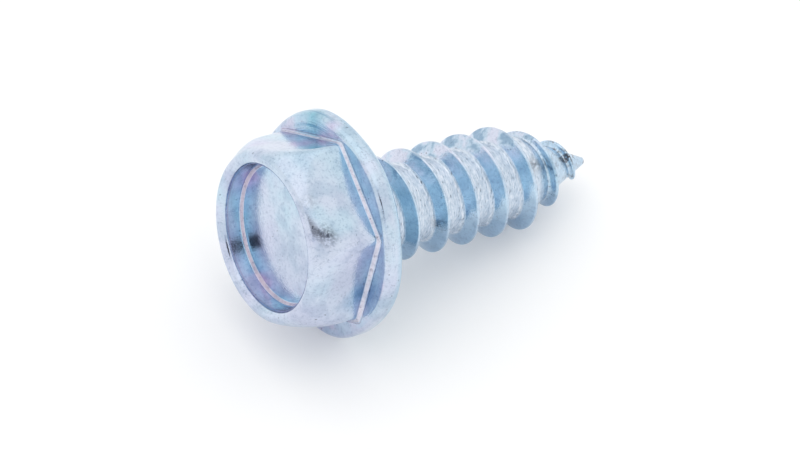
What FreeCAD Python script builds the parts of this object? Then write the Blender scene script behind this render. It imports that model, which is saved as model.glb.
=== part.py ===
import FreeCAD, Part

import math
import os

from FreeCAD import Vector

# Hex washer head tapping screw with a sharp gimlet point, in millimetres.
# It is cold headed and thread rolled from one blank, so it is one solid.
# It is drawn along its own axis first: z runs from the bearing face of the washer
# to the point, so the head has negative z, and x meets a corner of the hexagon.
# Last, it is laid down as it rests: on the rim of the washer and one crest of the thread.

# Shank and thread
thread_d = 4.8
core_d = 3.5
pitch = 1.588
flank_angle = 30.0
crest_land = 0.09
length = 13.3
point_length = 3.7
nib_r = 0.2
nib_facets = 3
neck_flare = 0.25
thread_start = 0.9
run_in_turns = 0.6
thread_end_gap = 0.45
run_out_turns = 0.3
point_crest_height = 0.15
thread_phase = 139.7
thread_points_per_turn = 12
ridge_foot_share = 0.7
buried_share = 0.15

# Hexagon and its crown
across_flats = 7.8
head_height = 3.96
rim_wall = 0.68
lip_r = 0.32
crown_slope = 33.0
crown_length = 0.36
corner_clearance = 0.02

# Indentation in the head
recess_depth = 1.06
recess_draft = 10.0
recess_corner = 0.11

# Washer
washer_thickness = 0.95
washer_margin = 0.5
washer_lobe = 0.05
rim_top_fillet = 0.26
rim_bottom_fillet = 0.34
foot_fillet = 0.13
lobe_shift = 1.5

# Rest
corner_below = 120.0
rest_mesh = 0.005
steepest_rest = 45.0

core_r = core_d / 2
thread_r = thread_d / 2
flat_r = across_flats / 2
sector = 60.0
corner_angles = [sector * step for step in range(6)]
corner_r = flat_r / math.cos(math.radians(sector / 2))
washer_r = corner_r + washer_margin
axis = Vector(0, 0, 1)
taper_start = length - point_length
thread_end = length - thread_end_gap


def at(radius, z):
    return Vector(radius, 0, z)


def arc(centre_r, centre_z, radius, start, end):
    """Arc in the half plane of a turned profile, from one normal angle to another."""
    points = []
    for angle in (start, (start + end) / 2, end):
        turn = math.radians(angle)
        points.append(at(centre_r + radius * math.cos(turn), centre_z + radius * math.sin(turn)))
    edge = Part.Arc(*points).toShape()
    return edge.Curve.toBSpline(edge.FirstParameter, edge.LastParameter).toShape()


def direction(turn):
    return Vector(math.cos(turn), math.sin(turn), 0)


def line(start, end):
    return Part.LineSegment(start, end).toShape()


def ends(edge):
    return edge.valueAt(edge.FirstParameter), edge.valueAt(edge.LastParameter)


def turned(edges):
    """Solid turned about the axis from a chain of edges that starts and ends on it."""
    chain = [edges[0]]
    for edge in edges[1:]:
        last = ends(chain[-1])[1]
        first = ends(edge)[0]
        if last.distanceToPoint(first) > 1e-6:
            chain.append(line(last, first))
        chain.append(edge)
    chain.append(line(ends(chain[-1])[1], ends(chain[0])[0]))
    wedge = Part.Face(Part.Wire(chain)).revolve(Vector(0, 0, 0), axis, sector)
    wedges = [wedge.copy().rotate(Vector(0, 0, 0), axis, corner) for corner in corner_angles]
    return wedges[0].fuse(wedges[1:])


def crown():
    """Indented, rounded top of the head, out past the corners of the hexagon."""
    floor_z = recess_depth - head_height
    mouth_z = lip_r - head_height
    mouth_r = flat_r - rim_wall
    foot_r = mouth_r - (floor_z - mouth_z) * math.tan(math.radians(recess_draft))
    floor = line(at(0, floor_z), at(foot_r - recess_corner, floor_z))
    corner = line(ends(floor)[1], at(foot_r, floor_z - recess_corner))
    lip = arc(mouth_r + lip_r, mouth_z, lip_r, -180, -crown_slope)
    slope = math.radians(crown_slope)
    edge = ends(lip)[1]
    shoulder_start = at(edge.x + crown_length * math.sin(slope), edge.z + crown_length * math.cos(slope))
    shoulder_r = (corner_r + corner_clearance - shoulder_start.x) / (1 - math.cos(slope))
    shoulder_centre_r = shoulder_start.x - shoulder_r * math.cos(slope)
    shoulder_centre_z = shoulder_start.z + shoulder_r * math.sin(slope)
    shoulder = arc(shoulder_centre_r, shoulder_centre_z, shoulder_r, -crown_slope, 0)
    side = line(ends(shoulder)[1], at(ends(shoulder)[1].x, -washer_thickness / 2))
    base = line(ends(side)[1], at(0, -washer_thickness / 2))
    return turned([floor, corner, lip, shoulder, side, base])


def hexagon():
    corners = []
    for angle in corner_angles + corner_angles[:1]:
        corners.append(direction(math.radians(angle)) * corner_r + Vector(0, 0, -washer_thickness / 2))
    face = Part.Face(Part.makePolygon(corners))
    return face.extrude(Vector(0, 0, -head_height))


def rim_arcs():
    """Outline of the washer as tangent arcs: centre, radius, first normal angle and sweep."""
    wide = washer_r + washer_lobe
    narrow = washer_r - washer_lobe
    step = wide - narrow
    half = math.radians(sector / 2)
    back = (2 * step * lobe_shift - step ** 2) / (2 * lobe_shift * (1 - math.cos(half)) - 2 * step)
    joint = math.degrees(math.atan2(lobe_shift * math.sin(half), lobe_shift * math.cos(half) + back))
    arcs = []
    for corner in corner_angles:
        turn = math.radians(corner)
        arcs.append((direction(turn) * -back, narrow + back, corner - joint, 2 * joint))
        arcs.append((direction(turn + half) * lobe_shift, wide - lobe_shift, corner + joint, sector - 2 * joint))
    return arcs


def is_level(edge, z):
    return edge.BoundBox.ZLength < 1e-4 and abs(edge.BoundBox.ZMin - z) < 1e-4


def is_foot(edge):
    """True for the straight edges where the flats stand on the washer."""
    return is_level(edge, -washer_thickness) and abs(edge.Length - corner_r) < 1e-2


def washer():
    """Washer with a rounded rim, a little wider beside the flats than at the corners."""
    faces = []
    for centre, radius, start, sweep in rim_arcs():
        bottom = arc(radius - rim_bottom_fillet, -rim_bottom_fillet, rim_bottom_fillet, 90, 0)
        top = arc(radius - rim_top_fillet, rim_top_fillet - washer_thickness, rim_top_fillet, 0, -90)
        for edge in (bottom, line(ends(bottom)[1], ends(top)[0]), top):
            edge.rotate(Vector(0, 0, 0), axis, start)
            edge.translate(centre)
            faces.append(edge.revolve(centre, axis, sweep))
    edges = [edge for face in faces for edge in face.Edges]
    for level in (0, -washer_thickness):
        outline = [edge for edge in edges if is_level(edge, level)]
        faces.append(Part.Face(Part.Wire(Part.sortEdges(outline)[0])))
    shell = Part.Shell(faces)
    shell.sewShape()
    return Part.Solid(shell)


def head():
    body = crown().common(hexagon()).fuse(washer())
    feet = [edge for edge in body.Edges if is_foot(edge)]
    return body.makeFillet(foot_fillet, feet)


def point_angle():
    """Half angle of the core's cone, which runs into the rounded nib."""
    run = length - nib_r - taper_start
    return math.acos(nib_r / math.hypot(core_r, run)) - math.atan2(run, core_r)


def core_at(z):
    return core_r - max(0, z - taper_start) * math.tan(point_angle())


def core():
    """Shank under the thread, with its flared neck, its cone and its blunt nib in small facets."""
    angle = point_angle()
    nib_z = length - nib_r
    start = line(at(0, -washer_thickness / 2), at(core_r + neck_flare, -washer_thickness / 2))
    foot = line(ends(start)[1], at(core_r + neck_flare, 0))
    neck = line(ends(foot)[1], at(core_r, neck_flare))
    shank = line(ends(neck)[1], at(core_r, taper_start))
    nib = []
    for step in range(nib_facets + 1):
        normal = angle + (math.pi / 2 - angle) * step / nib_facets
        nib.append(at(nib_r * math.cos(normal), nib_z + nib_r * math.sin(normal)))
    cone = line(ends(shank)[1], nib[0])
    return turned([start, foot, neck, shank, cone] + [line(a, b) for a, b in zip(nib, nib[1:])])


def ease(share):
    share = min(1, max(0, share))
    return share * share * (3 - 2 * share)


def crest_height(z):
    """Height of the crest over the core: it runs in, stays full, falls on the point and runs out."""
    full = thread_r - core_r
    along = max(0, z - taper_start) / (thread_end - taper_start)
    height = full + (point_crest_height - full) * along
    run_in = ease((z - thread_start) / (run_in_turns * pitch))
    run_out = ease((thread_end - z) / (run_out_turns * pitch))
    return height * run_in * run_out


def helix_curve(offset):
    """Helical curve along the ridge. The offset gives its radius and its shift along the axis."""
    turns = (thread_end - thread_start) / pitch
    steps = math.ceil(turns * thread_points_per_turn)
    points = []
    for step in range(steps + 1):
        z = thread_start + (thread_end - thread_start) * step / steps
        angle = math.radians(thread_phase + 360 * z / pitch)
        radius, shift = offset(z)
        points.append(Vector(radius * math.cos(angle), radius * math.sin(angle), z + shift))
    curve = Part.BSplineCurve()
    curve.interpolate(Points=points, Parameters=[step / steps * turns for step in range(steps + 1)])
    return curve


def crest_r(z):
    """Radius of the crest, which starts and ends a little inside the core."""
    buried = buried_share * core_at(z) * (1 - ease(crest_height(z) / point_crest_height))
    return core_at(z) + crest_height(z) - buried


def ridge_foot_r(z):
    return ridge_foot_share * core_at(z)


def half_base(z):
    return crest_land / 2 + (crest_r(z) - ridge_foot_r(z)) * math.tan(math.radians(flank_angle))


def ridge_piece(curves, start, end):
    """Solid of the ridge between two turns, counted from the start of the thread."""
    edges = []
    for curve in curves:
        part_of_curve = curve.copy()
        part_of_curve.segment(start, end)
        edges.append(part_of_curve.toShape())
    faces = [Part.makeRuledSurface(a, b) for a, b in zip(edges, edges[1:] + edges[:1])]
    for side in (0, 1):
        corners = [ends(edge)[side] for edge in edges]
        faces.append(Part.Face(Part.makePolygon(corners + corners[:1])))
    shell = Part.Shell(faces)
    shell.sewShape()
    solid = Part.Solid(shell)
    if solid.Volume < 0:
        solid.reverse()
    return solid


def thread():
    """Ridge of the thread, one piece for each turn, from inside the core out to its narrow crest."""
    curves = [
        helix_curve(lambda z: (ridge_foot_r(z), -half_base(z))),
        helix_curve(lambda z: (crest_r(z), -crest_land / 2)),
        helix_curve(lambda z: (crest_r(z), crest_land / 2)),
        helix_curve(lambda z: (ridge_foot_r(z), half_base(z))),
    ]
    turns = curves[0].LastParameter
    marks = list(range(math.floor(turns))) + [turns]
    return [ridge_piece(curves, start, end) for start, end in zip(marks, marks[1:])]


def lowest(points, tilt):
    turn = math.radians(tilt)
    return max(p.x * math.cos(turn) + p.z * math.sin(turn) for p in points)


def rest_tilt(points):
    """Tilt of the axis at which the washer and the thread reach equally low, with x as down."""
    washer_points = [p for p in points if p.z <= 0]
    thread_points = [p for p in points if p.z > thread_start]
    low = 0.0
    high = steepest_rest
    while high - low > 1e-6:
        tilt = (low + high) / 2
        if lowest(thread_points, tilt) < lowest(washer_points, tilt):
            low = tilt
        else:
            high = tilt
    return (low + high) / 2


def laid_down(screw):
    """The screw at rest, with its point along x, on the ground and centred over the origin."""
    screw = screw.copy()
    screw.rotate(Vector(0, 0, 0), Vector(0, 0, 1), -corner_below)
    tilt = rest_tilt(screw.tessellate(rest_mesh)[0])
    screw.rotate(Vector(0, 0, 0), Vector(0, 1, 0), 90 + tilt)
    points = screw.tessellate(rest_mesh)[0]
    middle_x = (min(p.x for p in points) + max(p.x for p in points)) / 2
    middle_y = (min(p.y for p in points) + max(p.y for p in points)) / 2
    screw.translate(Vector(-middle_x, -middle_y, -min(p.z for p in points)))
    return screw, tilt


def main():
    drawn = head().fuse([core()] + thread())
    screw, tilt = laid_down(drawn)
    print("tilt of the axis at rest", round(tilt, 4), "of the drawn frame", screw.Placement)
    print("solids", len(screw.Solids), "faces", len(screw.Faces), "valid", screw.isValid())
    print("volume", round(screw.Volume, 2), "box", screw.BoundBox)
    os.makedirs("parts", exist_ok=True)
    screw.exportStep("parts/hex_washer_screw.step")


main()
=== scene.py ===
# %% [markdown]
# A hex washer head tapping screw, lying on a pale table.
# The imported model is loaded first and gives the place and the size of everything.
# The screw is then modelled once more with far finer steps, because bright zinc
# shows every facet, and that fine piece stands in for the plain solid.

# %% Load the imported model
import math

import bpy
from mathutils import Euler, Matrix, Vector


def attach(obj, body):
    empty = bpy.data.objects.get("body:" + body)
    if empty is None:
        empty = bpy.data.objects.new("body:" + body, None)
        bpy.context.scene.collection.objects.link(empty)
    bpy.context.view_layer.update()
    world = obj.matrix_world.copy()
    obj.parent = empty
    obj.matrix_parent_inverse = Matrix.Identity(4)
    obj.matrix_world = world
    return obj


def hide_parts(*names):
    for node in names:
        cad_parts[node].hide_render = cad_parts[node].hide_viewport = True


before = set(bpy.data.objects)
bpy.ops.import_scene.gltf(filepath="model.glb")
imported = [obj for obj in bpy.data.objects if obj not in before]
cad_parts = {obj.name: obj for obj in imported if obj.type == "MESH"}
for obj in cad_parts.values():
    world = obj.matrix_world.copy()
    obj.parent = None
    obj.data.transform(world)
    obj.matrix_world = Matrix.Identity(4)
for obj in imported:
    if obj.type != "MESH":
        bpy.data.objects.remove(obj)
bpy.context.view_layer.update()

screw_node = "hex_washer_screw"
bpy.ops.object.select_all(action="DESELECT")

# %% [markdown]
# The screw lies on the rim of its washer and on one crest of its thread, so its axis slopes.
# It is easier to model along its own axis: z runs from the bearing face of the washer to the
# point, x meets a corner of the hexagon, and one unit is one millimetre.
# The last step lays the finished piece down where the solid lies.
#
# The sizes are the solid's, apart from the indentation: its wall leans three degrees and not
# ten, because that gives it the dark reflections of the photograph, and the bevel at its foot
# is a little larger. Some small forms are only here: a bevel at the foot of the flats, a round
# neck and nib, softened roots, and the marks of this one screw, which are a rim a little
# aside, a point a little bent, a fine groove round the foot of the flats, and a crest that is
# lower in one place near the point.

# %% Sizes in millimetres
thread_radius = 2.4
core_radius = 1.75
pitch = 1.588
flank_angle = math.radians(30)
crest_land = 0.09
screw_length = 13.3
point_length = 3.7
nib_radius = 0.2
thread_start = 0.9
thread_end = 12.85
run_in = 0.6 * pitch
run_out = 0.3 * pitch
point_crest_height = 0.15
thread_phase = math.radians(139.7)

flat_radius = 3.9
corner_radius = flat_radius / math.cos(math.radians(30))
head_height = 3.96
recess_depth = 1.06
recess_draft = math.radians(3)
recess_corner = 0.12
corner_width = 0.14
rim_wall = 0.68
lip_radius = 0.32
crown_slope = 33
crown_length = 0.36
washer_thickness = 0.95
washer_radius = corner_radius + 0.5
washer_lobe = 0.05
rim_shift = 0.06
point_bend = 0.1
rim_top_fillet = 0.26
rim_bottom_fillet = 0.34
foot_fillet = 0.13
groove_depth = 0.02
thin_spot_z = 10.1
thin_spot_depth = 0.23
thin_spot_reach = 0.35
root_softness = 0.09
neck_fillet = 0.25

columns = 264

# %% [markdown]
# The head is a turned form that has been pressed to a hexagon. By hand one would start from
# a small circle at the middle of the indentation, extrude it, scale it, and repeat that ring
# by ring: out over the floor, up the wall, over the lip, down the crown and the side, out over
# the washer, round its rim and back under it to the neck. The rings of each rounding are
# worked out from its radius, so that it shines as one smooth curve. The two inner corners, in
# the indentation and at the foot of the flats, are narrow bevels with a ring close to each edge.

# %% The section of the head, ring by ring
def rounding(centre_r, centre_z, radius, start, end, steps):
    """Points of an arc in the section, each as radius and height."""
    points = []
    for step in range(steps + 1):
        turn = math.radians(start + (end - start) * step / steps)
        points.append((centre_r + radius * math.cos(turn), centre_z + radius * math.sin(turn)))
    return points


def straight(start, end, steps):
    """Points of a straight run, without its first."""
    return [tuple(a + (b - a) * step / steps for a, b in zip(start, end)) for step in range(1, steps + 1)]


def bevel(start, end):
    """Points of a narrow bevel, with a ring close to each edge so that it stays crisp."""
    return [tuple(a + (b - a) * share for a, b in zip(start, end)) for share in (0.15, 0.5, 0.85, 1)]


floor_z = recess_depth - head_height
mouth_z = lip_radius - head_height
mouth_r = flat_radius - rim_wall
wall_foot = (mouth_r - (floor_z - recess_corner - mouth_z) * math.tan(recess_draft), floor_z - recess_corner)
floor_edge = (wall_foot[0] - corner_width, floor_z)
section = [(0.25, floor_z)]
section += straight(section[-1], (floor_edge[0] - 0.02, floor_z), 12) + [floor_edge]
section += bevel(floor_edge, wall_foot)
section += straight(wall_foot, (mouth_r, mouth_z), 8)
section += rounding(mouth_r + lip_radius, mouth_z, lip_radius, -180, -crown_slope, 16)[1:]
slope = math.radians(crown_slope)
shoulder_start = (
    section[-1][0] + crown_length * math.sin(slope),
    section[-1][1] + crown_length * math.cos(slope))
shoulder_radius = (corner_radius + 0.02 - shoulder_start[0]) / (1 - math.cos(slope))
section += straight(section[-1], shoulder_start, 4)
section += rounding(
    shoulder_start[0] - shoulder_radius * math.cos(slope),
    shoulder_start[1] + shoulder_radius * math.sin(slope),
    shoulder_radius, -crown_slope, 0, 16)[1:]
foot_z = -washer_thickness - foot_fillet
side_r = section[-1][0]
section += straight(section[-1], (side_r, foot_z - 0.02), 10) + [(side_r, foot_z)]
section += bevel((side_r, foot_z), (side_r + foot_fillet, -washer_thickness))
groove_steps = (0.006, 0.012, 0.018)
for step in groove_steps:
    depth = groove_depth if step == groove_steps[1] else 0
    section.append((side_r + foot_fillet + step, depth - washer_thickness))
section += straight(section[-1], (washer_radius - rim_top_fillet, -washer_thickness), 10)
section += rounding(
    washer_radius - rim_top_fillet,
    rim_top_fillet - washer_thickness,
    rim_top_fillet, -90, 0, 8)[1:]
section += straight(section[-1], (washer_radius, -rim_bottom_fillet), 2)
section += rounding(washer_radius - rim_bottom_fillet, -rim_bottom_fillet, rim_bottom_fillet, 0, 90, 9)[1:]
section += straight(section[-1], (core_radius + neck_fillet, 0), 8)
section += rounding(core_radius + neck_fillet, neck_fillet, neck_fillet, 270, 180, 5)[1:]
print("rings in the head", len(section))

# %% Extrude the rings
first_r, first_z = section[0]
bpy.ops.mesh.primitive_circle_add(
    vertices=columns, radius=first_r, fill_type="TRIFAN", location=(0, 0, first_z))
head = bpy.context.object
head.name = "screw_head"
bpy.ops.object.transform_apply(location=True, rotation=False, scale=False)
bpy.ops.object.mode_set(mode="EDIT")
bpy.ops.mesh.select_mode(type="EDGE")
bpy.ops.mesh.select_all(action="SELECT")
bpy.ops.mesh.region_to_loop()
for (radius, height), (next_radius, next_height) in zip(section, section[1:]):
    bpy.ops.mesh.extrude_edges_move(TRANSFORM_OT_translate={"value": (0, 0, next_height - height)})
    grow = next_radius / radius
    bpy.ops.transform.resize(value=(grow, grow, 1), center_override=(0, 0, next_height))
bpy.ops.object.mode_set(mode="OBJECT")
print("turned head", len(head.data.polygons), "faces")

# %% [markdown]
# The bevels in the inner corners get a painted highlight, and the metal beside them gets painted
# shade and reflection, tinted blue to purple. The turned rings still have simple places here, so
# now is the time to note on each point whether it is on a bevel, how close to one it is, whether
# it is in the fine groove round the foot, and whether it is on the washer. The finish reads these
# values later. In the indentation that painted shade is stronger, and its bevel and its mouth
# get painted shade half as dark as the groove.

# %% Note the inner corners and the washer
def new_values(mesh, *names):
    for name in names:
        mesh.attributes.new(name, "FLOAT", "POINT")
    return [mesh.attributes[name].data for name in names]


tolerance = 1e-3
# Reach and strength of the painted shade and reflection beside the inner corners.
foot_corner_shade_reach, recess_corner_shade_reach, recess_corner_shade_strength = 0.38, 0.55, 2
# Painted shade at the mouth and bevel of the indentation, as a share of the groove's darkness.
recess_shade_darkness = 0.5
bevel_values, corner_shade_values, groove_stain_and_shade_values, washer_values = new_values(
    head.data, "bevel", "beside", "groove", "washer")
for vertex in head.data.vertices:
    index = vertex.index
    radius, z = math.hypot(vertex.co.x, vertex.co.y), vertex.co.z
    if radius > mouth_r + lip_radius or z > -washer_thickness:
        past_foot = radius - side_r - foot_fillet
        to_bevel, corner_shade_reach, corner_shade_strength = max(foot_z - z, past_foot), foot_corner_shade_reach, 1
        under_top = z > groove_depth + tolerance - washer_thickness
        in_groove = abs(past_foot - groove_steps[1]) < tolerance and z < 0.1 - washer_thickness
        groove_stain_and_shade_values[index].value = 1 if in_groove else 0
        washer_values[index].value = 1 if z > foot_z + foot_fillet / 2 else 0
    else:
        to_bevel = max(wall_foot[1] - z, floor_edge[0] - radius)
        corner_shade_reach, corner_shade_strength = recess_corner_shade_reach, recess_corner_shade_strength
        under_top = False
        at_mouth = math.dist((radius, z), (mouth_r, mouth_z)) < tolerance
        # Painted shade at the mouth and the bevel of the indentation.
        groove_stain_and_shade_values[index].value = recess_shade_darkness if at_mouth or to_bevel < -tolerance else 0
    bevel_values[index].value = 1 if to_bevel < -tolerance and not under_top else 0
    # Painted shade and reflection beside the inner corners, fading with distance.
    fade = math.exp(-(max(0, to_bevel) / corner_shade_reach) ** 2)
    corner_shade_values[index].value = 0 if under_top else corner_shade_strength * fade

# %% [markdown]
# The flats come next. On the real screw the die presses them, so they run softly into the
# crown, with no sharp line between. Every point of the outside is drawn in to the hexagon,
# and where both surfaces are close, the two are blended. The washer follows the hexagon at
# its inner edge, and its rim is a little wider beside the flats than at the corners.

# %% Press the hexagon and the lobed rim
def hexagon_radius(angle, sharpness=90):
    """Radius of the hexagon in a direction, with its corners just rounded."""
    total = sum(max(0, math.cos(angle - math.radians(30 + 60 * side))) ** sharpness for side in range(6))
    return flat_radius / total ** (1 / sharpness)


def soft_lower(a, b, reach):
    """The lower of two values, blended where they differ by less than reach."""
    near = max(0, reach - abs(a - b)) / reach
    return min(a, b) - near ** 3 * reach / 6


def smooth_share(value):
    value = min(1, max(0, value))
    return value * value * (3 - 2 * value)


press_softness = 0.22
rim_start_r = washer_radius - rim_top_fillet
groove_stretch = 3.5
top_run = rim_start_r - side_r - foot_fillet - groove_steps[-1]
fine_tolerance = 1e-4
for vertex in head.data.vertices:
    x, y, z = vertex.co
    radius = math.hypot(x, y)
    if radius < mouth_r + lip_radius and z < floor_z + 1 and z < -washer_thickness:
        continue
    if radius < core_radius + neck_fillet + 0.01:
        continue
    angle = math.atan2(y, x)
    pressed = hexagon_radius(angle)
    edge_r = soft_lower(side_r, pressed, press_softness)
    lobe = -washer_lobe * math.cos(6 * angle)
    if z < foot_z - fine_tolerance:
        radius = soft_lower(radius, pressed, press_softness)
    elif z < groove_depth - washer_thickness + fine_tolerance and radius < rim_start_r - fine_tolerance:
        past = radius - side_r - foot_fillet
        past_groove = max(0, past - groove_steps[-1])
        out = past_groove / top_run
        inner_r = edge_r + min(foot_fillet, radius - side_r) + groove_stretch * (max(0, past) - past_groove)
        radius = inner_r + (rim_start_r + lobe - inner_r) * out
    else:
        radius += lobe * smooth_share((radius - core_radius) / (rim_start_r - core_radius))
    on_washer = 0 if z < foot_z else smooth_share((radius - core_radius - neck_fillet) / 2)
    aside = rim_shift * on_washer * smooth_share((z - foot_z) / foot_fillet)
    vertex.co = (radius * math.cos(angle), radius * math.sin(angle) + aside, z)
head.data.update()

# %% [markdown]
# The thread is one ridge that winds round the shank. The Screw modifier sweeps a short
# upright chain of points along that helix, so the rows of the skin run along the ridge and
# its thin crest stays clean. Then each point is moved in or out to the true form at its
# place: the shank, the flanks at thirty degrees, the narrow crest, the run-in under the head
# and the cone with its blunt nib.

# %% Sweep the skin of the shank
half_rows = (0, 0.03, 0.05, 0.08, 0.14, 0.21, 0.28, 0.34, 0.39, 0.43, 0.48, 0.54, 0.61, 0.70, pitch / 2)
rows = [-place for place in reversed(half_rows[1:])] + list(half_rows)
bpy.ops.mesh.primitive_grid_add(x_subdivisions=len(rows) - 1, y_subdivisions=1, size=1)
shank = bpy.context.object
shank.name = "screw_shank"
bpy.ops.object.mode_set(mode="EDIT")
bpy.ops.mesh.select_all(action="DESELECT")
bpy.ops.object.mode_set(mode="OBJECT")
for vertex in shank.data.vertices:
    vertex.select = vertex.co.y > 0
bpy.ops.object.mode_set(mode="EDIT")
bpy.ops.mesh.delete(type="VERT")
bpy.ops.object.mode_set(mode="OBJECT")
first_crest = -pitch * (thread_phase / (2 * math.pi) + 2)
for vertex in shank.data.vertices:
    row = round((vertex.co.x + 0.5) * (len(rows) - 1))
    vertex.co = (core_radius, 0, first_crest + rows[row])
sweep = shank.modifiers.new("helix", "SCREW")
sweep.axis = "Z"
sweep.angle = 2 * math.pi
sweep.steps = columns
sweep.render_steps = columns
sweep.screw_offset = pitch
sweep.iterations = math.ceil((screw_length - first_crest) / pitch) + 1
sweep.use_merge_vertices = True
sweep.merge_threshold = 0.001
bpy.ops.object.modifier_apply(modifier=sweep.name)
print("swept skin", len(shank.data.polygons), "faces from", len(rows), "points")

# %% Raise the ridge and taper the point
taper_start = screw_length - point_length
nib_z = screw_length - nib_radius
cone_run = nib_z - taper_start
cone_angle = math.acos(nib_radius / math.hypot(core_radius, cone_run)) - math.atan2(cone_run, core_radius)


def core_at(z):
    """Radius of the shank under the thread, with the cone and the round nib."""
    nib = math.sqrt(max(0, nib_radius ** 2 - max(0, z - nib_z) ** 2))
    cone = core_radius - max(0, z - taper_start) * math.tan(cone_angle)
    return cone if z < nib_z + nib_radius * math.sin(cone_angle) else nib


def crest_at(z):
    """Radius of the crest where its middle is at this height."""
    full = thread_radius - core_radius
    along = max(0, z - taper_start) / (thread_end - taper_start)
    height = full + (point_crest_height - full) * along
    height *= smooth_share((z - thread_start) / run_in) * smooth_share((thread_end - z) / run_out)
    height -= thin_spot_depth * math.exp(-((z - thin_spot_z) / thin_spot_reach) ** 2)
    return core_at(z) + height


def skin_radius(angle, z):
    """Radius of the threaded skin: the ridge where it stands out, the shank elsewhere."""
    turns_past = (z / pitch - (angle - thread_phase) / (2 * math.pi) + 0.5) % 1 - 0.5
    from_crest = turns_past * pitch
    flank = crest_at(z - from_crest) - max(0, abs(from_crest) - crest_land / 2) / math.tan(flank_angle)
    core = core_at(z)
    return -soft_lower(-core, -flank, root_softness * core / core_radius)


least_ridge = 0.12
ridge_values, shank_values = new_values(shank.data, "ridge", "on_shank")
for vertex in shank.data.vertices:
    angle = math.atan2(vertex.co.y, vertex.co.x)
    z = min(screw_length, max(neck_fillet, vertex.co.z))
    inside = neck_fillet < z < screw_length
    radius = skin_radius(angle, z) if inside else core_at(z)
    aside = point_bend * (max(0, z - taper_start) / point_length) ** 2
    ridge_values[vertex.index].value = (radius - core_at(z)) / max(least_ridge, crest_at(z) - core_at(z))
    shank_values[vertex.index].value = 1
    vertex.co = (radius * math.cos(angle), radius * math.sin(angle) + aside, z)
shank.data.update()

# %% [markdown]
# Head and shank share the ring of points at the end of the neck, so joining the two meshes
# and merging what coincides leaves one closed skin, as the real screw is one piece of steel.
# Everything past the two ends of the shank was pressed onto that ring or onto the tip, and
# merges away. The piece is then turned, laid down and made life size.

# %% Join, close and lay down
bpy.ops.object.select_all(action="DESELECT")
shank.select_set(True)
head.select_set(True)
bpy.context.view_layer.objects.active = head
bpy.ops.object.join()
screw = bpy.context.object
screw.name = "zinc_plated_screw"
screw.data.name = "zinc_plated_screw"
bpy.ops.object.mode_set(mode="EDIT")
bpy.ops.mesh.select_mode(type="VERT")
bpy.ops.mesh.select_all(action="SELECT")
bpy.ops.mesh.remove_doubles(threshold=0.002)
bpy.ops.mesh.select_all(action="SELECT")
bpy.ops.mesh.normals_make_consistent(inside=False)
bpy.ops.mesh.select_all(action="DESELECT")
bpy.ops.mesh.select_non_manifold()
bpy.ops.object.mode_set(mode="OBJECT")
print("open or odd points", sum(vertex.select for vertex in screw.data.vertices))

corner_below = math.radians(120)
rest_tilt = math.radians(14.6204)
bearing_centre = Vector((-4.0692, 0, 4.7181))
lay = Matrix.Rotation(math.radians(90) + rest_tilt, 4, "Y") @ Matrix.Rotation(-corner_below, 4, "Z")
millimetre = 0.001
screw.matrix_world = Matrix.Scale(millimetre, 4) @ Matrix.Translation(bearing_centre) @ lay
bpy.ops.object.select_all(action="DESELECT")
screw.select_set(True)
bpy.context.view_layer.objects.active = screw
bpy.ops.object.transform_apply(location=True, rotation=True, scale=True)
bpy.ops.object.shade_smooth()
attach(screw, "root")
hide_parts(screw_node)
print("screw", len(screw.data.polygons), "faces", [round(size * 1000, 3) for size in screw.dimensions], "mm")

# %% [markdown]
# The finish is bright zinc with a thin blue passivation. It is a mirror-like metal with a
# cool tint that drifts between pale blue, cyan and lilac over a few millimetres, because
# the clear film on it varies in thickness. Noise on Object coordinates drives the tint.
# A Mapping node turns those coordinates to the screw's own axis and millimetres.

# %% Helpers for the finish
def add_node(tree, kind, **settings):
    node = tree.nodes.new(kind)
    for name, value in settings.items():
        setattr(node, name, value)
    return node


def noise(tree, vector, scale, detail, roughness=0.5):
    node = add_node(tree, "ShaderNodeTexNoise")
    node.inputs["Scale"].default_value = scale
    node.inputs["Detail"].default_value = detail
    node.inputs["Roughness"].default_value = roughness
    tree.links.new(vector, node.inputs["Vector"])
    return node.outputs["Fac"]


def ramp(tree, factor, stops):
    node = add_node(tree, "ShaderNodeValToRGB")
    band = node.color_ramp
    while len(band.elements) < len(stops):
        band.elements.new(0.5)
    for element, (place, colour) in zip(band.elements, stops):
        element.position = place
        element.color = (*colour, 1)
    tree.links.new(factor, node.inputs["Fac"])
    return node.outputs["Color"]


def calculate(tree, operation, *values):
    node = add_node(tree, "ShaderNodeMath", operation=operation)
    for socket, value in zip(node.inputs, values):
        if isinstance(value, (int, float)):
            socket.default_value = value
        else:
            tree.links.new(value, socket)
    return node.outputs["Value"]


def mix_colour(tree, factor, first, second, blend="MIX"):
    node = add_node(tree, "ShaderNodeMix", data_type="RGBA", blend_type=blend)
    sockets = [socket for socket in node.inputs if socket.enabled]
    for socket, value in zip(sockets, (factor, first, second)):
        if isinstance(value, (int, float)):
            socket.default_value = value
        elif isinstance(value, tuple):
            socket.default_value = (*value, 1)
        else:
            tree.links.new(value, socket)
    return [socket for socket in node.outputs if socket.enabled][0]


# %% The screw's own coordinates
zinc = bpy.data.materials.new("blue_passivated_zinc")
zinc.use_nodes = True
tree = zinc.node_tree
shader = tree.nodes["Principled BSDF"]
place = add_node(tree, "ShaderNodeTexCoord")
own_axis = add_node(tree, "ShaderNodeMapping", vector_type="TEXTURE")
own_axis.inputs["Location"].default_value = bearing_centre * millimetre
own_axis.inputs["Rotation"].default_value = lay.to_euler()
own_axis.inputs["Scale"].default_value = (millimetre, millimetre, millimetre)
tree.links.new(place.outputs["Object"], own_axis.inputs["Vector"])
own = own_axis.outputs["Vector"]

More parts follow.
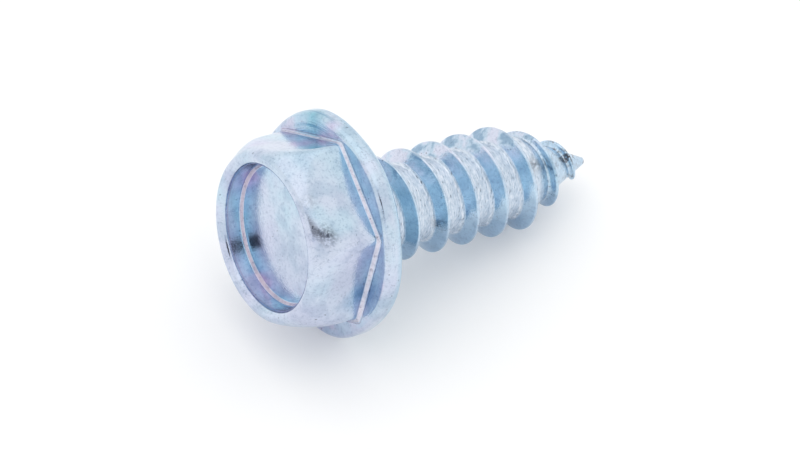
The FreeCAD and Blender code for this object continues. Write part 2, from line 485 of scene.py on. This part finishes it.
split = add_node(tree, "ShaderNodeSeparateXYZ")
tree.links.new(own, split.inputs["Vector"])
own_x, own_y, own_z = (split.outputs[axis] for axis in "XYZ")
white, black = (1, 1, 1), (0, 0, 0)


def times(first, second):
    return calculate(tree, "MULTIPLY", first, second)


def scaled(value, factor, plus=0):
    return calculate(tree, "MULTIPLY_ADD", value, factor, plus)


def own_noise(scale, detail, roughness=0.5):
    return noise(tree, own, scale, detail, roughness)


def layer(share, below, above):
    return mix_colour(tree, share, below, above)


def darken(base, colour):
    return mix_colour(tree, 1.0, base, colour, "MULTIPLY")


def noted(name):
    """A value that was noted on the points of the mesh."""
    return add_node(tree, "ShaderNodeAttribute", attribute_name=name).outputs["Fac"]


def joined(first, second, third):
    """Coordinates for noise that follows the axis, made of radius, height and turn."""
    vector = add_node(tree, "ShaderNodeCombineXYZ")
    for value, socket in zip((first, second, third), vector.inputs):
        tree.links.new(value, socket)
    return vector.outputs["Vector"]


def patch(centre, reach):
    """Share that is one at a place on the screw, in its own millimetres, and fades around it."""
    gap = add_node(tree, "ShaderNodeVectorMath", operation="DISTANCE")
    tree.links.new(own, gap.inputs[0])
    gap.inputs[1].default_value = centre
    uneven = scaled(own_noise(1.1, 3.0), reach, gap.outputs["Value"])
    return ramp(tree, calculate(tree, "DIVIDE", uneven, 2 * reach), [(0.3, white), (0.75, black)])


radius_out = calculate(tree, "SQRT", calculate(tree, "ADD", times(own_x, own_x), times(own_y, own_y)))
turn = calculate(tree, "ARCTAN2", own_y, own_x)
ridge_share, shank_share = noted("ridge"), noted("on_shank")
bevel_share, corner_shade_share = noted("bevel"), noted("beside")
groove_stain_and_shade_share, washer_share = noted("groove"), noted("washer")

# %% [markdown]
# First comes the colour of the film. A slow drift covers the whole screw. Beside the inner
# corners a painted shade and reflection makes it deeper blue, teal or purple. Where the film is
# thicker, in some places of the head, it is deeper blue, teal or purple too. Each such place is a
# centre and a reach in millimetres, a strength and a tint.

# %% Film on the head
drift = scaled(own_y, 0.02, own_noise(0.42, 2.0))
tint = ramp(tree, drift, [
    (0.34, (0.55, 0.69, 0.80)),
    (0.47, (0.62, 0.69, 0.81)),
    (0.62, (0.60, 0.64, 0.78)),
])
# Painted shade and reflection beside the inner corners: blue, teal or purple.
corner_shade_tone = ramp(tree, own_noise(0.8, 3.0), [
    (0.36, (0.40, 0.62, 0.77)),
    (0.52, (0.44, 0.60, 0.78)),
    (0.66, (0.60, 0.50, 0.68)),
])
tint = layer(times(corner_shade_share, 0.35), tint, corner_shade_tone)
film_places = (
    ((-0.6, -4.0, -1.6), 0.8, 0.7, (0.36, 0.62, 0.82)),
    ((-1.3, -3.7, -2.9), 0.9, 0.6, (0.68, 0.60, 0.84)),
    ((3.4, 2.6, -0.9), 0.6, 0.5, (0.74, 0.50, 0.66)),
    ((3.5, 1.9, -2.2), 1.5, 0.8, (0.50, 0.54, 0.68)),
    ((4.0, 3.0, -0.4), 1.5, 0.6, (0.46, 0.60, 0.70)),
    ((0.6, 0.9, -2.9), 1.8, 0.55, (0.50, 0.61, 0.72)),
    ((-2.4, -2.0, -3.3), 1.0, 0.5, (0.60, 0.52, 0.76)),
    ((3.5, -0.4, -3.2), 1.0, 0.5, (0.58, 0.64, 0.74)),
    ((0.1, -4.8, -0.9), 1.0, 0.95, (0.28, 0.54, 0.66)),
    ((2.9, 2.7, -1.3), 1.0, 0.9, (0.30, 0.46, 0.64)),
    ((0.9, -3.9, -1.7), 0.9, 1.0, (0.66, 0.44, 0.66)),
    ((1.6, -4.6, -0.9), 0.5, 0.6, (0.66, 0.56, 0.76)),
)
for centre, reach, strength, colour in film_places:
    tint = layer(times(patch(centre, reach), strength), tint, colour)

# %% [markdown]
# The thread is a cleaner blue. Its upper lobes get patches of painted shade and painted
# highlight, and its lower ones a darker painted shade. The first flank under the washer and the
# last ones before the point are deeper too.

# %% Film on the thread
tint = layer(times(shank_share, 0.8), tint, (0.52, 0.70, 0.84))
tint = layer(times(patch((1.8, -0.3, 1.4), 2.4), 0.5), tint, (0.42, 0.65, 0.79))
# Painted shade and painted highlight patches on the upper lobes.
upper_shade_and_highlight = ramp(tree, own_noise(1.2, 3.0), [
    (0.40, (0.36, 0.50, 0.64)),
    (0.47, (0.56, 0.69, 0.81)),
    (0.60, (0.68, 0.71, 0.83)),
])
upper = ramp(tree, scaled(own_y, -0.25), [(0.25, black), (0.45, white)])
lower = ramp(tree, scaled(own_y, 0.25), [(0.15, black), (0.40, white)])
tint = layer(times(shank_share, upper), tint, upper_shade_and_highlight)
# Painted shade on the lower side of the thread.
tint = layer(times(shank_share, lower), tint, (0.41, 0.56, 0.72))
tint = layer(times(patch((1.5, -0.3, 10.2), 1.0), 0.8), tint, (0.36, 0.53, 0.66))

# %% [markdown]
# The underside of the washer is plain blue. The narrow bevels are pale, a painted highlight
# with some dark grains. The fine groove round the foot is dark, partly stain and partly painted
# shade, and the mouth of the indentation has a painted dark shading line. The turned die left
# fine arcs on the washer, which show best at the top. Over everything lie a fine mottle, soft
# clouds and a few pits.

# %% Edges, arcs and mottle
underside = ramp(tree, calculate(tree, "ADD", own_z, 1.0), [(0.55, black), (0.85, white)])
tint = layer(times(washer_share, underside), tint, (0.50, 0.66, 0.78))
# Painted highlight on the narrow bevels, with some dark grains.
bevel_highlight_and_grains = ramp(tree, own_noise(6.0, 3.0, 0.7), [
    (0.32, (0.36, 0.33, 0.40)),
    (0.42, (0.66, 0.62, 0.71)),
    (0.60, (0.74, 0.70, 0.78)),
])
tint = layer(times(bevel_share, 0.8), tint, bevel_highlight_and_grains)
# Stain and painted shade in the groove round the foot, painted shade at the indentation's mouth and bevel.
tint = layer(times(groove_stain_and_shade_share, 0.8), tint, (0.30, 0.20, 0.30))
turned = noise(tree, joined(times(radius_out, 9.0), times(own_z, 9.0), turn), 1.0, 3.0)
arcs = ramp(tree, turned, [(0.38, (0.50, 0.66, 0.76)), (0.50, white)])
tint = layer(times(washer_share, patch((0.2, -4.5, -0.9), 2.0)), tint, darken(tint, arcs))
mottle = ramp(tree, own_noise(7.0, 6.0, 0.75), [
    (0.34, (0.70, 0.73, 0.78)),
    (0.48, (0.96, 0.97, 0.98)),
    (0.62, white),
])
clouds = ramp(tree, own_noise(1.2, 4.0, 0.55), [(0.40, (0.84, 0.87, 0.90)), (0.54, white)])
pits = ramp(tree, own_noise(5.5, 2.0), [(0.25, (0.35, 0.36, 0.40)), (0.30, white)])
smooth_zinc = darken(darken(tint, darken(mottle, clouds)), pits)

# %% [markdown]
# The rolled roots of the thread are duller and whiter than the flanks, and are speckled with
# short dark marks that run along the groove. The crests are a little dull too. The skin knows
# how far each place stands over the shank, so that value picks out the roots and the crests.

# %% Speckled roots
streaks = noise(tree, joined(times(turn, 4.0), times(own_z, 11.0), radius_out), 1.6, 5.0, 0.7)
root_share = times(shank_share, ramp(tree, ridge_share, [(0.10, white), (0.22, black)]))
crest_share = times(shank_share, ramp(tree, ridge_share, [(0.95, black), (0.995, white)]))
point_share = ramp(tree, scaled(own_z, 0.09), [(0.84, black), (0.94, white)])
dull_share = calculate(tree, "MAXIMUM", root_share, times(crest_share, 0.4))
dull_share = times(dull_share, scaled(point_share, -0.7, 1.0))
root_tone = ramp(tree, streaks, [
    (0.34, (0.10, 0.12, 0.16)),
    (0.39, (0.48, 0.57, 0.68)),
    (0.48, (0.57, 0.66, 0.76)),
    (0.60, (0.78, 0.83, 0.91)),
])
coated = layer(dull_share, smooth_zinc, root_tone)

# %% [markdown]
# The point, where the two dies meet, is roughest: it has dark grime, and brown grains on its
# last ridge. A few more places of the head and the thread carry fine dark specks. Each such
# place is a centre and a reach in millimetres and a strength. The first one is the smudge on
# the crown: its specks are a painted dark reflection, which adds to the dark reflection that
# the metal gets from the world.

# %% Rough point and specks
brown = ramp(tree, scaled(own_z, 0.08), [(0.82, (0.34, 0.42, 0.50)), (0.92, (0.30, 0.22, 0.20))])
grime = ramp(tree, own_noise(3.4, 5.0, 0.8), [(0.37, white), (0.45, black)])
wear_and_painted_reflection = layer(times(point_share, grime), white, brown)
burr = ramp(tree, own_noise(7.0, 4.0, 0.8), [(0.49, (0.20, 0.14, 0.13)), (0.55, white)])
wear_and_painted_reflection = layer(patch((0.85, -0.5, 11.85), 0.6), wear_and_painted_reflection, burr)
specks_and_painted_reflection = ramp(tree, own_noise(4.5, 5.0, 0.85), [(0.48, (0.12, 0.13, 0.16)), (0.58, white)])
speck_and_reflection_places = (
    # A painted dark reflection on the crown, drawn as specks.
    ((4.1, -0.65, -3.3), 0.55, 1.0),
    ((3.3, -2.0, -3.5), 0.55, 0.28),
    ((1.85, 0.75, 3.95), 0.45, 0.6),
    ((1.6, -0.7, 9.48), 0.5, 0.7),
)
for centre, reach, strength in speck_and_reflection_places:
    wear_and_painted_reflection = layer(times(patch(centre, reach), strength), wear_and_painted_reflection, specks_and_painted_reflection)
tree.links.new(darken(coated, wear_and_painted_reflection), shader.inputs["Base Color"])

# %% [markdown]
# Bright zinc is nearly a mirror. The roots, the whole shank and one place on the crown are
# hazier, and the haze varies a little everywhere.

# %% Metal and haze
shader.inputs["Metallic"].default_value = 1
haze = times(own_noise(2.5, 4.0, 0.6), 0.06)
haze = scaled(dull_share, 0.20, haze)
haze = scaled(shank_share, 0.10, haze)
haze = scaled(patch((3.75, -1.1, -3.6), 0.8), 0.32, haze)
tree.links.new(haze, shader.inputs["Roughness"])

# %% [markdown]
# The last touch is relief too fine to model: a grain all over, the streaks in the roots, and
# the arcs that the die left on the washer.

# %% Fine relief
relief_depth = 0.00001
streak_relief, arc_relief = 3.0, 3.0
grain = own_noise(13.0, 3.0, 0.65)
relief = scaled(dull_share, times(streaks, streak_relief), grain)
relief = scaled(times(turned, washer_share), arc_relief, relief)
bump = add_node(tree, "ShaderNodeBump")
bump.inputs["Strength"].default_value = 0.5
bump.inputs["Distance"].default_value = relief_depth
tree.links.new(relief, bump.inputs["Height"])
tree.links.new(bump.outputs["Normal"], shader.inputs["Normal"])
for piece in (screw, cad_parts[screw_node]):
    piece.data.materials.clear()
    piece.data.materials.append(zinc)

# %% [markdown]
# The table is plain white. It is only a floor for the picture, and it keeps the soft shadow.
# A faint glow that the camera and the mirror-like metal see brings it to full white. It lies
# a hair under the ground plane.

# %% White table
table_drop = 0.00002
table_glow = 0.1
bpy.ops.object.select_all(action="DESELECT")
bpy.ops.mesh.primitive_plane_add(size=4, location=(0, 0, -table_drop))
table = bpy.context.object
table.name = "white_table"
paper = bpy.data.materials.new("white_paper")
paper.use_nodes = True
paper_tree = paper.node_tree
paper_shader = paper_tree.nodes["Principled BSDF"]
paper_shader.inputs["Base Color"].default_value = (0.94, 0.94, 0.94, 1)
paper_shader.inputs["Roughness"].default_value = 0.9
paper_shader.inputs["Specular IOR Level"].default_value = 0
paper_shader.inputs["Emission Color"].default_value = (1, 1, 1, 1)
seen_by = add_node(paper_tree, "ShaderNodeLightPath").outputs
seen = calculate(paper_tree, "MAXIMUM", seen_by["Is Camera Ray"], seen_by["Is Glossy Ray"])
seen = calculate(paper_tree, "MAXIMUM", seen, seen_by["Is Transmission Ray"])
lift = calculate(paper_tree, "MULTIPLY", seen, table_glow)
paper_tree.links.new(lift, paper_shader.inputs["Emission Strength"])
table.data.materials.append(paper)

# %% [markdown]
# A bright metal shows what stands around it. The photograph was taken in a white light tent
# with a gap for the camera, so the world is white with a slightly dimmer, bluish patch there
# and a dark spot the size of a lens in its middle. The metal shows that spot as the smudges
# in the indentation. The camera itself sees plain white behind the screw. A broad lamp
# overhead gives the table its soft shadow.

# %% Light tent
camera_place = Vector((-0.081997, -0.127725, 0.161277))
toward_camera = camera_place.normalized()
world = bpy.data.worlds.new("light_tent")
bpy.context.scene.world = world
world.use_nodes = True
sky = world.node_tree
sky.nodes.clear()
direction = add_node(sky, "ShaderNodeTexCoord")
facing = add_node(sky, "ShaderNodeVectorMath", operation="DOT_PRODUCT")
facing.inputs[1].default_value = toward_camera
sky.links.new(direction.outputs["Generated"], facing.inputs[0])
gap = ramp(sky, facing.outputs["Value"], [
    (0.0, (1, 1, 1)),
    (0.88, (1, 1, 1)),
    (0.95, (0.91, 0.92, 0.96)),
    (0.973, (0.84, 0.86, 0.92)),
    (0.987, (0.03, 0.03, 0.04)),
])
tent = add_node(sky, "ShaderNodeBackground")
sky.links.new(gap, tent.inputs["Color"])
tent.inputs["Strength"].default_value = 1.05
plain = add_node(sky, "ShaderNodeBackground")
plain.inputs["Color"].default_value = (1, 1, 1, 1)
path_kind = add_node(sky, "ShaderNodeLightPath")
either = add_node(sky, "ShaderNodeMixShader")
sky.links.new(path_kind.outputs["Is Camera Ray"], either.inputs["Fac"])
sky.links.new(tent.outputs["Background"], either.inputs[1])
sky.links.new(plain.outputs["Background"], either.inputs[2])
out = add_node(sky, "ShaderNodeOutputWorld")
sky.links.new(either.outputs["Shader"], out.inputs["Surface"])

bpy.ops.object.light_add(type="AREA", location=(0.05, 0.12, 0.45))
overhead = bpy.context.object
overhead.name = "overhead_softbox"
overhead.data.shape = "DISK"
overhead.data.size = 0.8
overhead.data.energy = 0.2
overhead.rotation_euler = (Vector((0, 0, 0)) - overhead.location).to_track_quat("-Z", "Y").to_euler()

# %% [markdown]
# The camera stands where the photographer's stood: about 22 centimetres off, well above the
# table, with a long lens. Its place was found by fitting the washer, the hexagon, the crests
# and the point to their outlines in the photograph.

# %% Camera
camera_turn = Euler([math.radians(degrees) for degrees in (43.632, 0.302, -32.725)])
bpy.ops.object.camera_add(location=camera_place, rotation=camera_turn)
camera = bpy.context.object
camera.data.lens = 225
camera.data.sensor_width = 36
camera.data.clip_start = 0.01
camera.data.clip_end = 10
bpy.context.scene.camera = camera
bpy.context.scene.view_settings.view_transform = "Standard"

# %% Update the scene
bpy.context.view_layer.update()
